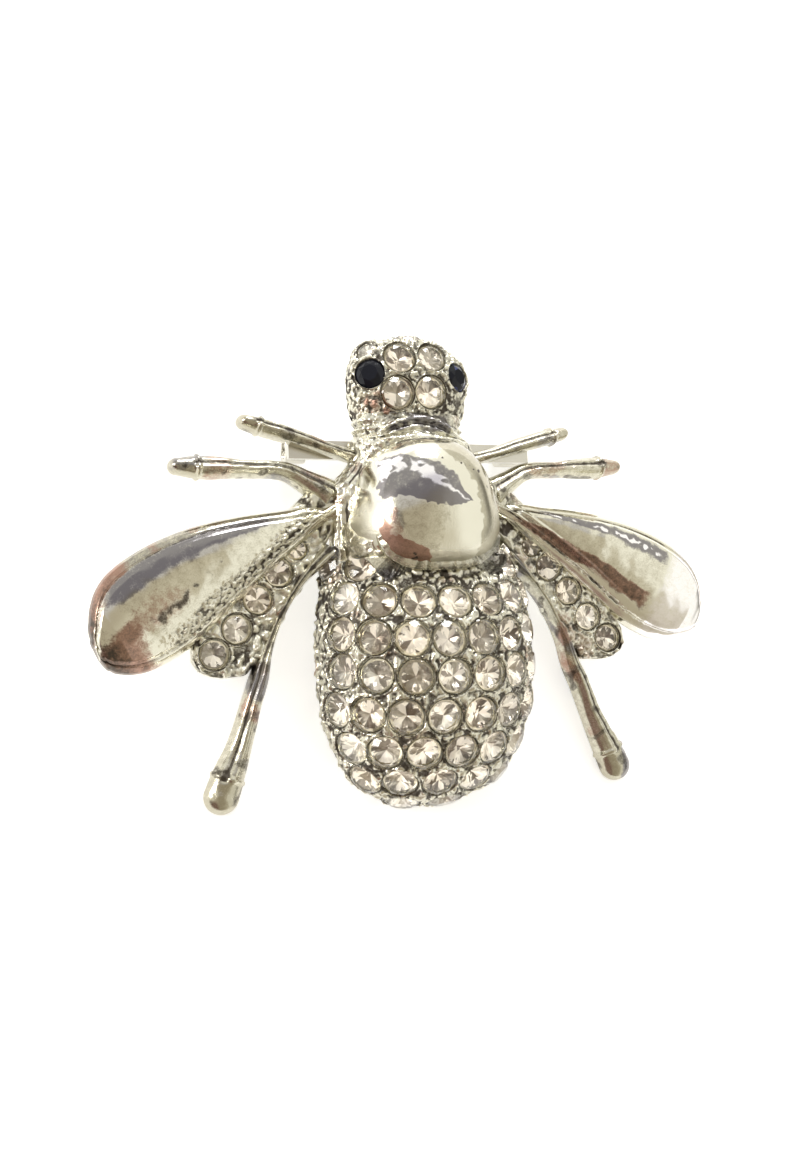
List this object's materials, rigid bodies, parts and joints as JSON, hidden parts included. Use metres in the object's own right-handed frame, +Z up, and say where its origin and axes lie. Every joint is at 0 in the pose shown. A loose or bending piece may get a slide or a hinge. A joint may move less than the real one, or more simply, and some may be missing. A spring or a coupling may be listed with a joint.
{
  "type": "insect brooch",
  "caption": "Silver-coloured insect brooch with plain domed thorax, smooth forewings, a stone-set abdomen and hind wings, dark eyes and a bar pin on its back.",
  "frame": {"origin": "centre of the bounding box in X and Y, on the table under the brooch", "axes": "+X across the wings to the insect's left as seen from above with the head away (the picture's right), +Y towards the head, +Z up from the table it lies on"},
  "size_m": [0.05, 0.0364, 0.0101],
  "materials": {
    "silver_plate": "polished",
    "pin_metal": "plain",
    "clear_stone": "faceted",
    "dark_stone": "faceted"
  },
  "bodies": {
    "root": {"cast_body": "silver_plate", "abdomen_stones": "clear_stone", "head_stone_1": "clear_stone", "head_stone_2": "clear_stone", "head_stone_3": "clear_stone", "head_stone_4": "clear_stone", "head_stone_5": "clear_stone", "head_stone_6": "clear_stone", "eye_left": "dark_stone", "eye_right": "dark_stone", "wing_stone_left_1": "clear_stone", "wing_stone_left_2": "clear_stone", "wing_stone_left_3": "clear_stone", "wing_stone_left_4": "clear_stone", "wing_stone_left_5": "clear_stone", "wing_stone_right_1": "clear_stone", "wing_stone_right_2": "clear_stone", "wing_stone_right_3": "clear_stone", "wing_stone_right_4": "clear_stone", "wing_stone_right_5": "clear_stone", "back_pin": "pin_metal"}
  },
  "joints": []
}
